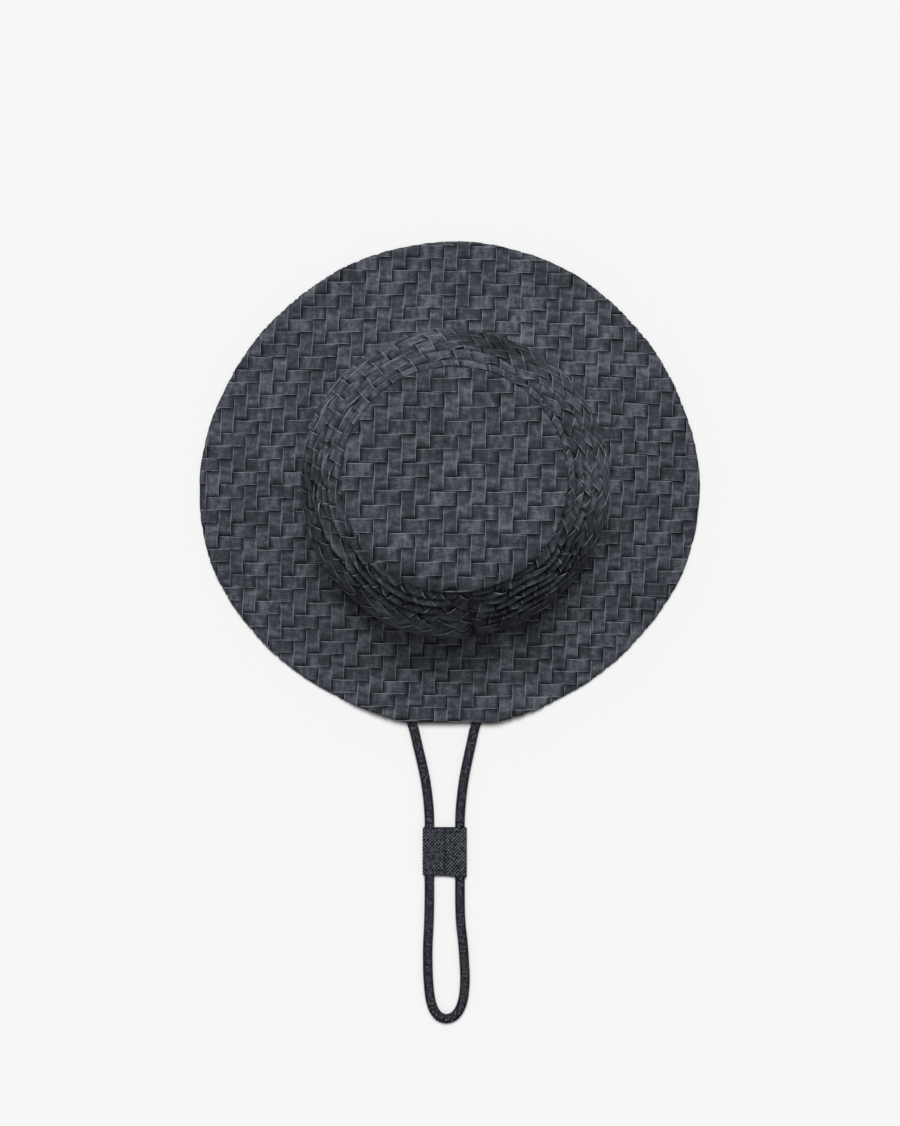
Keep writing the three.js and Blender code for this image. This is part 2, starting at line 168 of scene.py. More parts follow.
# Ripples of the brim's outline: waves in one turn, height, and the angle of a crest
BRIM_RIPPLES = [(1, 2.8, 160), (2, 2.5, 12), (3, 0.9, -117), (4, 1.1, 5), (5, 0.6, -77)]
BRIM_MEAN_RADIUS = 152.7
BRIM_BACK_FLAT = 147.8
BRIM_ROOT_TOP = cad_box("brim")[1][2]
BRIM_EDGE_TOP = 2.8
BRIM_LEDGE_RADIUS = 95.6
BRIM_INNER_RADIUS = 90.2
HEM_WIDTH = 11
HEM_LIFT = 2.8
HEM_LIFT_ANGLE = 268  # the hem is lifted where the strap passes under it
HEM_LIFT_REACH = 15
HEM_LIFT_FADE = 14
BACK_SEAM = 277
# Painted shade: the whole brim's colour is darkened evenly by this much.
BRIM_SHADE = 0.07
BACK_SLUMP = 3.5
SLUMP_START = 42
SLUMP_END = 72
TIP_OVERHANG = 1.2
TIP_TURNED_IN = 1.5
WALL_FOOT_DROP = 0.5
WALL_FOOT_RADIUS = 92.6
WALL_BELLY = 1
WALL_BELLY_TOP = 38
WALL_TOP_RADIUS = 66.3
WALL_SLUMP_RADIUS = 66
WALL_SLUMP_REACH = 45


def polar(radius, angle, height):
    """Points at that radius and angle about the middle of the crown."""
    return np.stack(
        [CENTRE[0] + radius * np.cos(angle), CENTRE[1] + radius * np.sin(angle), height], -1
    )


def outline_radius(angle):
    radius = np.full_like(angle, BRIM_MEAN_RADIUS)
    for waves, height, crest in BRIM_RIPPLES:
        radius += height * np.cos(waves * angle - math.radians(crest))
    backward = -np.sin(angle)
    flat = BRIM_BACK_FLAT / np.maximum(backward, 0.2)
    radius = np.where(backward * radius > BRIM_BACK_FLAT, flat, radius)
    wobble = 0.22 * np.sin(13 * angle + 0.4) + 0.12 * np.sin(31 * angle + 1.0)
    return radius + wobble - 0.1


def hem_lift(angle):
    away = np.abs((np.degrees(angle) - HEM_LIFT_ANGLE + 180) % 360 - 180)
    return HEM_LIFT * smoothstep(1 - np.maximum(away - HEM_LIFT_REACH, 0) / HEM_LIFT_FADE)


def brim_middle(angle, radius, edge):
    """Height of the middle of the brim's cloth."""
    fold = edge - HEM_WIDTH
    share = np.clip((fold - radius) / (fold - BRIM_LEDGE_RADIUS), 0, 1)
    rise = 0.35 * share + 0.65 * share**2
    wave = np.sin(2 * angle + 0.7) + 0.6 * np.sin(5 * angle + 2)
    fine = 0.5 * np.sin(9 * angle + 1.1) + 0.35 * np.sin(14 * angle + 0.3)
    height = BRIM_EDGE_TOP + (BRIM_ROOT_TOP - BRIM_EDGE_TOP) * rise
    height += wave * 4 * share**2 * (1 - share) + fine * 1.6 * share * (1 - share)
    height += hem_lift(angle) * smoothstep(1 - share, 0.4, 1)
    return height - WEAVE_THICKNESS / 2


def brim_surface(x, y, out):
    """The brim at cloth place (x, y), out from the cloth's middle.

    Each surface gives its points, which of them lie past a cut edge, and how much painted shade darkens
    their colour.
    """
    dx, dy = x - CENTRE[0], y - CENTRE[1]
    angle = np.arctan2(dy, dx)
    along = np.hypot(dx, dy)
    edge = outline_radius(angle)
    turn = 0.75
    crest = edge - turn
    around = math.pi * turn
    longest = crest + around + HEM_WIDTH - turn
    lost = (along < BRIM_INNER_RADIUS) | (along > longest)
    along = np.clip(along, BRIM_INNER_RADIUS, longest)
    step = 0.25
    slope = (
        brim_middle(angle, np.minimum(along, crest) + step, edge)
        - brim_middle(angle, np.minimum(along, crest) - step, edge)
    ) / (2 * step)
    bend = np.clip((along - crest) / turn, 0, math.pi)
    past = np.maximum(along - crest - around, 0)
    radial = np.minimum(along, crest) + turn * np.sin(bend) - past
    height = brim_middle(angle, np.minimum(radial, crest), edge)
    height = height - turn * (1 - np.cos(bend))
    tilt = np.where(along < crest, np.arctan(-slope), bend)
    out = out * (1 - 0.8 * bump_at(along, crest + around / 2, 2.6))
    radial = radial + out * np.sin(tilt)
    height = height + out * np.cos(tilt)
    return polar(radial, angle, height), lost, np.full(along.shape, BRIM_SHADE)


def back_slump(angle, radius):
    """How far the crown's top edge has sunk over the back of the hat."""
    back = np.maximum(-np.sin(angle), 0) ** 2.2
    return BACK_SLUMP * back * smoothstep(radius, SLUMP_START, SLUMP_END)


def tip_surface(x, y, out):
    """The round top panel, bent down into its seam at the edge."""
    dx, dy = x - CENTRE[0], y - CENTRE[1]
    angle = np.arctan2(dy, dx)
    along = np.hypot(dx, dy)
    edge = TIP_RADIUS + TIP_OVERHANG
    lost = along > edge + TIP_TURNED_IN
    along = np.minimum(along, edge + TIP_TURNED_IN)
    turn = 2.4
    bend = np.clip((along - (edge - turn)) / turn, 0, 1.35)
    radial = np.minimum(along, edge - turn) + turn * np.sin(bend)
    height = CROWN_TOP - WEAVE_THICKNESS / 2 - turn * (1 - np.cos(bend))
    x, y = CENTRE[0] + radial * np.cos(angle), CENTRE[1] + radial * np.sin(angle)
    height = height + 0.4 * np.sin(x / 17 + 0.6) * np.sin(y / 21 + 1.2)
    height = height - back_slump(angle, radial)
    x, y = x + out * np.sin(bend) * np.cos(angle), y + out * np.sin(bend) * np.sin(angle)
    # Painted shade: the tip's colour darkens over its back, near the edge.
    shade = 0.6 * np.maximum(-np.sin(angle), 0) ** 2 * smoothstep(along, edge - 12, edge - 1)
    return np.stack([x, y, height + out * np.cos(bend)], -1), lost, shade


def wall_profile():
    """The middle of the side band's cloth from its foot to the tip seam: radius, height, tilt, length."""
    foot = BRIM_ROOT_TOP - WALL_FOOT_DROP
    share = np.linspace(0, 1, 40)[:-1]
    radius = WALL_FOOT_RADIUS + WALL_BELLY * np.sin(share * math.pi / 2)
    height = foot + (WALL_BELLY_TOP - foot) * share
    t = np.linspace(0, 1, 120)
    belly = WALL_FOOT_RADIUS + WALL_BELLY
    knots = [(belly, WALL_BELLY_TOP), (belly, 52), (74, 74), (WALL_TOP_RADIUS, CROWN_TOP)]
    weights = [(1 - t) ** 3, 3 * t * (1 - t) ** 2, 3 * t * t * (1 - t), t**3]
    radius = np.concatenate([radius, sum(w * k[0] for w, k in zip(weights, knots))])
    height = np.concatenate([height, sum(w * k[1] for w, k in zip(weights, knots))])
    dr, dz = np.gradient(radius), np.gradient(height)
    tilt = np.arctan2(-dr, dz)
    radius = radius - WEAVE_THICKNESS / 2 * np.cos(tilt)
    height = height - WEAVE_THICKNESS / 2 * np.sin(tilt)
    length = np.concatenate([[0], np.cumsum(np.hypot(np.diff(radius), np.diff(height)))])
    return radius, height, tilt, length


WALL = wall_profile()
WALL_LENGTH = WALL[3][-1]
# The side band's flat pattern is a ring that spans this share of a turn. The ring's middle lies at
# GRAIN_MIDDLE round the hat.
GRAIN_TURN = 0.35
GRAIN_MIDDLE = 135
PATTERN_FOOT_RADIUS = 92
PATTERN_OUTER = PATTERN_FOOT_RADIUS / GRAIN_TURN
PATTERN_INNER = PATTERN_OUTER - WALL_LENGTH
SEAM_HALF_GAP = 0.02
# Folds of the side band: start and end angle, depth below the tip seam, height and width
WALL_FOLDS = (
    (58, 104, 14.0, 1.9, 1.7),
    (28, 62, 13.0, 2.1, 1.7),
    (74, 96, 21.0, 1.2, 1.5),
    (10, 44, 20.5, 1.5, 1.6),
    (104, 160, 13.5, 1.2, 1.5),
    (112, 172, 19.5, 1.3, 1.5),
    (98, 150, 26.0, 1.0, 1.5),
    (-28, 14, 12.0, 1.5, 1.7),
    (-46, 6, 19.0, 1.5, 1.8),
    (-20, 26, 27.0, 1.2, 1.8),
    (168, 214, 11.0, 1.3, 1.6),
    (158, 200, 17.5, 1.2, 1.5),
    (176, 230, 24.0, 1.3, 1.8),
)


def wall_slump(angle, run):
    return back_slump(angle, WALL_SLUMP_RADIUS) * smoothstep(
        run, WALL_LENGTH - WALL_SLUMP_REACH, WALL_LENGTH
    )


def wall_creases(degrees, down):
    """How far the soft wall stands out of its smooth shape. down is the distance below the tip seam."""
    a = np.radians(degrees)
    share = 1 - down / WALL_LENGTH
    belly = np.sin(math.pi * np.clip(share, 0, 1)) ** 2
    out = (0.9 * np.sin(3 * a + 1.0) + 0.6 * np.sin(7 * a + 2.0)) * belly
    drift = 0.7 * np.sin(4 * a + 0.9) + 0.5 * np.sin(9 * a + 2)
    bead = window(degrees, -12, 176, 24) * (0.8 + 0.2 * np.sin(6 * a + 0.4))
    out += bead * (1.9 * bump_at(down, 3.0, 2.3) - 1.7 * bump_at(down, 7.0 + 0.5 * drift, 1.3))
    out += 0.5 * (1 - bead) * (bump_at(down, 4, 2.5) - 1.4 * bump_at(down, 0.6, 1.5))
    for start, end, depth, height, wide in WALL_FOLDS:
        strength = np.maximum(
            window(degrees, start, end, 13), window(degrees - 360, start, end, 13)
        )
        line = depth + drift
        crease = bump_at(down, line + 1.9 * wide, 0.8 * wide)
        out += strength * height * (bump_at(down, line, wide) - 1.1 * crease)
    right = window(degrees, -83, -20, 14) * window(down, 1, 40, 6)
    out += right * 1.5 * np.sin(2 * math.pi * (down / 6.4 + 0.5 * np.sin(3 * a) + 0.3 * np.sin(11 * a)))
    low = window(degrees, 206, 275, 18) * window(down, 1, 32, 6)
    out += low * 1.25 * np.sin(2 * math.pi * (down / 7.2 + 0.5 * np.sin(4 * a)))
    left = window(degrees, 100, 205, 22) * window(down, 9, 44, 8)
    out += left * 1.15 * np.sin(2 * math.pi * (down / 6.4 + 0.35 * np.sin(5 * a) + 0.2 * np.sin(13 * a)))
    seam = np.minimum(np.abs(degrees - BACK_SEAM), np.abs(degrees + 360 - BACK_SEAM))
    out -= 0.8 * bump_at(seam, 0, 1.1)
    out += 0.9 * bump_at(seam, 4.5, 2.2) * belly
    return out * smoothstep(share, 0.0, 0.12)


def wall_surface(x, y, out):
    """The side band is cut flat as part of a ring; x and y are places in that flat cloth."""
    around = np.degrees(np.arctan2(y, x))
    along = np.hypot(x, y)
    start = 90 + GRAIN_TURN * (BACK_SEAM - 360 - GRAIN_MIDDLE)
    end = 90 + GRAIN_TURN * (BACK_SEAM - GRAIN_MIDDLE)
    lost = (along < PATTERN_INNER) | (along > PATTERN_OUTER)
    lost |= (around < start + SEAM_HALF_GAP) | (around > end - SEAM_HALF_GAP)
    around = np.clip(around, start + SEAM_HALF_GAP, end - SEAM_HALF_GAP)
    degrees = GRAIN_MIDDLE + (around - 90) / GRAIN_TURN
    run = PATTERN_OUTER - np.clip(along, PATTERN_INNER, PATTERN_OUTER)
    radius, height, tilt = (np.interp(run, WALL[3], WALL[k]) for k in range(3))
    creases = wall_creases(degrees, WALL_LENGTH - run)
    stand = out + creases
    radius = radius + stand * np.cos(tilt)
    height = height + stand * np.sin(tilt)
    angle = np.radians(degrees)
    height = height - wall_slump(angle, run)
    # Painted shade: the side band's colour is darkened all round, most over the back and more on the right
    # (+x) side than the left, darker in its creases and lighter where they stand out.
    behind = np.maximum(-np.sin(angle), 0) ** 1.5
    shade = 0.21 + 0.75 * behind + 0.09 * np.cos(angle)
    return polar(radius, angle, height), lost, shade + np.clip(-creases / 1.6, -0.3, 1)


# ---------------------------------------------------------------- weaving

STRIP_THICKNESS = 0.36
WEAVE_RISE = 0.48
STRIP_HALF_WIDTH = 0.497
ROUGH_EXTRA_WIDTH = 0.02
STRIP_FLATNESS = 2.4
RIM = 0.93
RIM_HEIGHT = 0.05
# Places across a strip's top side, from edge to edge
PLAIN_STRIP = [-1, -RIM, -0.8, -0.3, 0.3, 0.8, RIM, 1]
BRIM_STRIP = [-1, -RIM, -0.7, 0, 0.7, RIM, 1]
CREASED_STRIP = [-1, -RIM, -0.75, -0.45, -0.15, 0.15, 0.45, 0.75, RIM, 1]


def slow_noise(strips, samples, cells, spacing, amount):
    """Smooth random values along each strip, at every sample of its length."""
    knots = rng.normal(0, amount, (strips, int(cells / spacing) + 3))
    place = np.linspace(0, cells, samples) / spacing
    low = place.astype(int)
    part = place - low
    part = part * part * (3 - 2 * part)
    return knots[:, low] * (1 - part) + knots[:, low + 1] * part


def weave(columns, rows, to_cloth, surface, steps, top_side, rough):
    """Two families of strips in a 2/2 twill. columns and rows are (first, last) cell numbers.

    rough is how far the strips stray and curl, as a multiple of the flat cloth's.
    """
    side = np.array(top_side + [1, 0, -1])[None, None, :]
    face = np.where(np.arange(side.size) < len(top_side), 1, -1)[None, None, :]
    rim = RIM_HEIGHT * ((np.abs(side) == RIM) & (face > 0))
    parts = []
    for upright in (True, False):
        first, last = columns if upright else rows
        begin, finish = rows if upright else columns
        strips, cells = last - first, finish - begin
        samples = cells * steps + 1
        number = np.arange(first, last)[:, None, None]
        place = (begin + np.linspace(0, cells, samples))[None, :, None]
        phase = number if upright else number - 3
        ride = np.sin(math.pi / 2 * (place - phase))
        level = np.tanh(STRIP_FLATNESS * ride) / math.tanh(STRIP_FLATNESS)

        def vary(spacing, amount):
            return slow_noise(strips, samples, cells, spacing, amount)[:, :, None]

        rise = WEAVE_RISE * (1 + vary(1.3, 0.14))
        swell = 1 + vary(3.1, 0.018)
        stray = vary(2.2, 0.022) + vary(0.9, 0.012)
        half_width = STRIP_HALF_WIDTH + ROUGH_EXTRA_WIDTH * (rough - 1)
        centre = number + 0.5 + rough * stray + side * half_width * swell
        if upright:
            a, b = np.broadcast_arrays(centre, place)
        else:
            b, a = np.broadcast_arrays(centre, place)
        out = rise * level + rough * vary(1.1, 0.09) * side + rim + face * STRIP_THICKNESS / 2
        x, y = to_cloth(a, b)
        points, lost, shade = surface(x, y, np.broadcast_to(out, a.shape))
        ring = side.size
        one = grid_quads(samples, ring, closed=True)
        quads = (np.arange(strips)[:, None, None] * samples * ring + one[None]).reshape(-1, 4)
        if upright:
            quads = quads[:, ::-1]
        quads = quads[~lost.reshape(-1)[quads].all(1)]
        u = np.broadcast_to((side + 1) / 2, a.shape)
        v = np.broadcast_to(place + 7.3 * number, a.shape)
        tone = rng.normal(0, 0.5, strips)[:, None, None] + vary(2.0, 0.9)
        floats = {
            "tone": np.broadcast_to(tone, a.shape).ravel(),
            "dive": np.broadcast_to(1 - np.abs(ride), a.shape).ravel(),
            # Painted shade given by the surface, read by the strip material to darken the colour
            "painted_shade": shade.ravel(),
        }
        uv = np.stack([u.ravel(), v.ravel()], -1)
        parts.append((points.reshape(-1, 3), quads, uv, floats))
    return join_parts(parts)


def cloth_grid(pitch_x, pitch_y, turn, float_x, float_y):
    """Cell numbers to millimetres, with the middle of one upright float at (float_x, float_y)."""
    c, d = math.cos(math.radians(turn)), math.sin(math.radians(turn))

    def to_cloth(a, b):
        x, y = pitch_x * (a - 0.5), pitch_y * (b - 1)
        return float_x + c * x - d * y, float_y + d * x + c * y

    return to_cloth


tip_cloth = cloth_grid(8.1, 8.2, -0.5, -7.2, 32.0)
brim_cloth = cloth_grid(8.06, 8.0, -1.25, -89.2, 85.2)
wall_cloth = cloth_grid(8.14, 8.14, 0, 1.5, 200.0)


def woven(name, node, columns, rows, cloth, surface, steps, top_side=PLAIN_STRIP, rough=1):
    piece = make_mesh(name, *weave(columns, rows, cloth, surface, steps, top_side, rough))
    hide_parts(node)
    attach(piece, "hat")
    return piece


crown_tip = woven("crown_tip_weave", "crown_tip", (-8, 11), (-14, 8), tip_cloth, tip_surface, 8)
crown_side = woven(
    "crown_side_weave",
    "crown_side_band",
    (-34, 34),
    (-26, 10),
    wall_cloth,
    wall_surface,
    6,
    CREASED_STRIP,
    rough=1.8,
)
brim = woven(
    "brim_weave", "brim", (-11, 34), (-34, 13), brim_cloth, brim_surface, 5, BRIM_STRIP
)


# ---------------------------------------------------------------- tapes and ribbons


def ribbon(name, node, surface, lengths, widths, thickness, closed=False):
    """A flat tape. surface(length, width, out) gives points; lengths and widths are sample places."""
    low, high = widths[0], widths[-1]
    count = len(widths)
    side = np.concatenate([widths, widths[::-1]])
    face = np.concatenate([np.full(count, 0.5), np.full(count, -0.5)]) * thickness
    a, b = np.meshgrid(lengths, side, indexing="ij")
    out = np.broadcast_to(face, a.shape)
    points = surface(a, b, out).reshape(-1, 3)
    ring = len(side)
    quads = grid_quads(len(lengths), ring, closed=True)
    if closed:
        last = (len(lengths) - 1) * ring
        k = np.arange(ring)
        n = (k + 1) % ring
        quads = np.concatenate([quads, np.stack([last + k, last + n, n, k], -1)])
    else:
        k = np.arange(count - 1)
        near = np.stack([k + 1, k, ring - 1 - k, ring - 2 - k], -1)
        far = near[:, ::-1] + (len(lengths) - 1) * ring
        quads = np.concatenate([quads, near, far])
    u = (b - low) / (high - low)
    uv = np.stack([u.ravel(), a.ravel()], -1)
    piece = make_mesh(name, points, quads, uv)
    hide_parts(node)
    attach(piece, "hat")
    return piece


def wall_inside(angle, height, depth):
    """A point that far inside the outer face of the side band, at that height."""
    radius, _, tilt, run = (np.interp(height, WALL[1], WALL[k]) for k in range(4))
    reach = depth - WEAVE_THICKNESS / 2
    sunk = wall_slump(angle, run)
    return polar(radius - reach * np.cos(tilt), angle, height - reach * np.sin(tilt) - sunk)


tip_tape_low, tip_tape_high = cad_box("tip_seam_binding")
TIP_TAPE_OUTER = (tip_tape_high[0] - tip_tape_low[0]) / 2
TIP_TAPE_WIDTH = 7.5
TAPE_THICKNESS = 0.7
BACK_TAPE_RADIUS = 86
JOIN_RADIUS = 88


def tip_tape_surface(angle, across, out):
    radius = TIP_TAPE_OUTER - TIP_TAPE_WIDTH / 2 + across
    pucker = 0.22 * np.sin(46 * angle) * (0.4 + np.abs(across) / TIP_TAPE_WIDTH)
    pucker = pucker + 0.15 * np.sin(19 * angle + 1)
    height = tip_tape_low[2] + 0.4 + pucker + out - back_slump(angle, radius)
    return polar(radius, angle, height)


full_turn = np.linspace(0, 2 * math.pi, 721)[:-1]
tip_tape = ribbon(
    "tip_seam_tape",
    "tip_seam_binding",
    tip_tape_surface,
    full_turn,
    np.linspace(-TIP_TAPE_WIDTH / 2, TIP_TAPE_WIDTH / 2, 9),
    TAPE_THICKNESS,
    closed=True,
)

back_low, back_high = cad_box("back_seam_binding")
SEAM_ANGLE = math.radians(BACK_SEAM)


def back_tape_surface(height, across, out):
    angle = SEAM_ANGLE + across / BACK_TAPE_RADIUS
    pucker = 0.16 * np.sin(height * 1.1) * (0.3 + np.abs(across) / 6)
    return wall_inside(angle, height, 2.1 + pucker - out)


back_tape = ribbon(
    "back_seam_tape",
    "back_seam_binding",
    back_tape_surface,
    np.linspace(back_low[2] + 0.3, back_high[2] - 0.3, 90),
    np.linspace(-4.9, 4.9, 9),
    TAPE_THICKNESS,
)

band_low, band_high = cad_box("sweatband")


def sweatband_surface(angle, height, out):
    top = smoothstep(height, band_high[2] - 6, band_high[2])
    pucker = 0.25 * np.sin(58 * angle) * (1 - smoothstep(height, band_low[2], band_low[2] + 7))
    pucker = pucker + top * (0.35 * np.sin(11 * angle) + 0.25 * np.sin(23 * angle + 2))
    return wall_inside(angle, height, 2.15 - pucker * 0.6 + 0.4 - out)


sweatband = ribbon(
    "sweatband_ribbon",
    "sweatband",
    sweatband_surface,
    np.linspace(0, 2 * math.pi, 1201)[:-1],
    np.linspace(band_low[2] + 0.1, band_high[2] - 0.1, 15),
    TAPE_THICKNESS,
    closed=True,
)

join_low, join_high = cad_box("sweatband_join")


def join_surface(height, across, out):
    angle = SEAM_ANGLE + across / JOIN_RADIUS
    return wall_inside(angle, height, 3.4 + 0.1 * np.sin(height * 0.9) - out)


sweatband_join = ribbon(
    "sweatband_join_ribbon",
    "sweatband_join",
    join_surface,
    np.linspace(join_low[2] + 0.2, join_high[2] - 0.2, 70),
    np.linspace(-7.8, 7.8, 13),
    0.65,
)


# ---------------------------------------------------------------- thread


def tube(path, radius, sides=6):
    """Points and quads of a round tube along path, an array of points."""
    path = np.asarray(path, float)
    tangent = np.gradient(path, axis=0)
    tangent /= np.linalg.norm(tangent, axis=1)[:, None]
    up = np.array([0.31, 0.17, 0.93])
    first = np.cross(tangent, up)
    first /= np.linalg.norm(first, axis=1)[:, None]
    second = np.cross(tangent, first)
    turn = np.linspace(0, 2 * math.pi, sides + 1)[:-1]
    swell = np.full(len(path), radius)
    swell[0] = swell[-1] = radius * 0.35
    cosine, sine = np.cos(turn)[None, :, None], np.sin(turn)[None, :, None]
    ring = first[:, None] * cosine + second[:, None] * sine
    points = path[:, None] + ring * swell[:, None, None]
    return points.reshape(-1, 3), grid_quads(len(path), sides, closed=True)


def threads(name, paths, radius, sides=6):
    points, quads, start = [], [], 0
    for path in paths:
        p, q = tube(path, radius, sides)
        points.append(p)
        quads.append(q + start)
        start += len(p)
    return make_mesh(name, np.concatenate(points), np.concatenate(quads))


def stitch_row(place, stops, bite, rise):
    """Stitches between stops: each arches from one needle hole to the next. place(t, out) gives points."""
    paths = []
    for a, b in zip(stops[:-1], stops[1:]):
        t = a + (b - a) * np.linspace(0.06, 0.94, 7)
        arch = np.sin(np.linspace(0, math.pi, 7)) ** 0.6 * (rise + bite) - bite
        paths.append(place(t, arch))
    return paths


# ---------------------------------------------------------------- strap anchors


def webbing_relief(u, v, pitch):
    """Height of a fine twill webbing at (u, v) millimetres."""
    turn = math.pi / pitch
    rib = np.sin((u + v) * turn)
    yarn = np.sin(u * turn) * np.sin(v * turn)
    return np.clip(0.5 + 0.27 * rib + 0.55 * yarn, 0, 1)


def anchor(side):
    low, high = cad_box(f"anchor_tab_{side}")
    middle = (low + high) / 2
    outward = -1 if side == "left" else 1

    def surface(height, across, out):
        share = (height - low[2]) / (high[2] - low[2])
        bow = 0.25 * np.sin(share * math.pi) * outward
        relief = 0.12 * webbing_relief(across + 40, height, 0.8)
        lean = middle[0] + bow + (out + np.sign(out) * relief) * outward
        return np.stack([lean, middle[1] + across * (1 - 0.03 * share), height], -1)

    tab = ribbon(
        f"anchor_webbing_{side}",
        f"anchor_tab_{side}",
        surface,
        np.linspace(low[2], high[2], 94),
        np.linspace(-3.9, 3.9, 40),
        0.8,
    )
    low, high = cad_box(f"anchor_tack_{side}")
    inner = high[0] if side == "left" else low[0]
    count = 17
    t = np.linspace(0, 1, count * 8 + 1)
    zigzag = np.stack(
        [
            inner + outward * (0.35 - 0.18 * np.abs(np.sin(t * count * math.pi / 2))),
            low[1] + (high[1] - low[1]) * t,
            (low[2] + high[2]) / 2 + 0.9 * np.sin(t * count * math.pi),
        ],
        -1,
    )
    tack = threads(f"anchor_thread_{side}", [zigzag], 0.2)
    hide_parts(f"anchor_tack_{side}")
    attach(tack, "hat")
    return tab, tack


anchor_left, tack_left = anchor("left")
anchor_right, tack_right = anchor("right")


# ---------------------------------------------------------------- chin strap

STRAP_WIDTH = 5.8
STRAP_THICKNESS = 1.5
keeper_low, keeper_high = cad_box("keeper_sleeve")
LEG_MIDDLE = (keeper_low[0] + keeper_high[0]) / 2
LEG_SPACING = 19.2
LEFT_LEG = LEG_MIDDLE - LEG_SPACING / 2
RIGHT_LEG = LEG_MIDDLE + LEG_SPACING / 2
STRAP_LEVEL = 1.75
ANCHOR_CLEARANCE = 3.3
ANCHOR_HEIGHT = 16.5
left_end = np.array([cad_box("anchor_tab_left")[1][0] + ANCHOR_CLEARANCE, CENTRE[1], ANCHOR_HEIGHT])
right_end = np.array([cad_box("anchor_tab_right")[0][0] - ANCHOR_CLEARANCE, CENTRE[1], ANCHOR_HEIGHT])
# Along the floor a stop is x, y; where the strap climbs to its anchors it has a height too
STRAP_ROUTE = [
    tuple(left_end),
    (left_end[0] + 0.8, CENTRE[1] - 14.5, 9.125),
    (left_end[0] + 3.2, CENTRE[1] - 29, 2.35),
    (-71, -50),
    (-59, -76),
    (-44, -106),
    (-30.5, -134),
    (-22.9, -152),
    (-19.9, -164),
    (-17.3, -175),
    (-15, -186),
    (-13.4, -198),
    (LEFT_LEG, -209),
    (LEFT_LEG, -230),
    (LEFT_LEG, -265),
    (-13, -278),
    (-13.6, -292),
    (-13.2, -311),
    (-11.8, -323),
    (-9.6, -329.5),
    (-6.4, -333.4),
    (-1.9, -334.9),
    (2.6, -333.4),
    (6, -329.5),
    (8.4, -323),
    (9.6, -311),
    (9.2, -299),
    (8.2, -286),
    (7.1, -276),
    (RIGHT_LEG, -265),
    (RIGHT_LEG, -230),
    (RIGHT_LEG, -209),
    (7.4, -198),
    (8.9, -186),
    (11, -175),
    (13.4, -164),
    (16.2, -152),
    (24, -134),
    (39, -106),
    (57, -76),
    (74, -50),
    (right_end[0] - 3.2, CENTRE[1] - 29, 2.35),
    (right_end[0] - 0.8, CENTRE[1] - 14.5, 9.125),
    tuple(right_end),
]


def through(stops, spacing):
    """A centripetal Catmull-Rom curve through stops, sampled evenly."""
    stops = np.array([(*p, STRAP_LEVEL) if len(p) == 2 else p for p in stops], float)
    stops = np.vstack([2 * stops[0] - stops[1], stops, 2 * stops[-1] - stops[-2]])
    curve = []
    for k in range(1, len(stops) - 2):
        p = stops[k - 1 : k + 3]
        gaps = np.sqrt(np.linalg.norm(np.diff(p, axis=0), axis=1))
        t = np.concatenate([[0], np.cumsum(gaps)])
        s = np.linspace(t[1], t[2], 60)[:-1, None]
        a = [((t[i + 1] - s) * p[i] + (s - t[i]) * p[i + 1]) / (t[i + 1] - t[i]) for i in range(3)]
        b = [((t[i + 2] - s) * a[i] + (s - t[i]) * a[i + 1]) / (t[i + 2] - t[i]) for i in range(2)]
        curve.append(((t[2] - s) * b[0] + (s - t[1]) * b[1]) / (t[2] - t[1]))
    curve = np.vstack(curve + [stops[-2][None]])
    run = np.concatenate([[0], np.cumsum(np.linalg.norm(np.diff(curve, axis=0), axis=1))])
    count = int(run[-1] / spacing)
    even = np.linspace(0, run[-1], count + 1)
    return np.stack([np.interp(even, run, curve[:, k]) for k in range(3)], -1), run[-1]


strap_line, strap_length = through(STRAP_ROUTE, 0.27)
BRAID_PITCH = 1.6


def strap_mesh():
    line = strap_line
    tangent = np.gradient(line, axis=0)
    tangent /= np.linalg.norm(tangent, axis=1)[:, None]
    level = np.cross(tangent, [0, 0, 1])
    level /= np.linalg.norm(level, axis=1)[:, None]
    normal = np.cross(level, tangent)
    run = np.arange(len(line)) * strap_length / (len(line) - 1)
    top = np.linspace(-1, 1, 13)
    side = np.concatenate([top, top[::-1][1:-1]])
    face = np.concatenate([np.full(13, 1.0), np.full(11, -1.0)])
    w = side[None, :]
    f = face[None, :]
    phase = run[:, None] / BRAID_PITCH - 1.6 * np.abs(w) + np.where(w > 0, 0.5, 0) + 0.25 * (f < 0)
    ridge = np.abs(np.sin(math.pi * phase))
    groove = 1 - bump_at(w, 0, 0.09)
    half = STRAP_WIDTH / 2 - 0.3 + 0.58 * ridge * np.abs(w) ** 6
    thick = (STRAP_THICKNESS / 2 - 0.2) * (1 - 0.55 * np.abs(w) ** 6)
    lift = f * (thick + 0.22 * ridge**0.7 * groove * (1 - np.abs(w) ** 8))
    points = line[:, None] + level[:, None] * (w * half)[..., None] + normal[:, None] * lift[..., None]
    quads = grid_quads(len(line), len(side), closed=True)
    ring = len(side)
    k = np.arange(12)
    under = np.concatenate([[0], ring - 1 - np.arange(11), [12]])
    near = np.stack([k + 1, k, under[k], under[k + 1]], -1)[1:-1]
    far = near[:, ::-1] + (len(line) - 1) * ring
    quads = np.concatenate([quads, near, far])[:, ::-1]
    uv = np.stack([np.broadcast_to((w + 1) / 2, lift.shape).ravel(), np.repeat(run, ring)], -1)
    floats = {
        "ridge": np.broadcast_to(ridge, lift.shape).ravel(),
        "centre": np.broadcast_to(1 - np.abs(w), lift.shape).ravel(),
    }
    return make_mesh("chin_strap_braid", points.reshape(-1, 3), quads, uv, floats)


strap = strap_mesh()
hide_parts("chin_strap")
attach(strap, "strap")


# ---------------------------------------------------------------- keeper

KEEPER_WALL = 0.7
KEEPER_MIDDLE_Y = (keeper_low[1] + keeper_high[1]) / 2
KEEPER_HALF_LENGTH = (keeper_high[1] - keeper_low[1]) / 2
KEEPER_HALF_WIDTH = (keeper_high[0] - keeper_low[0]) / 2


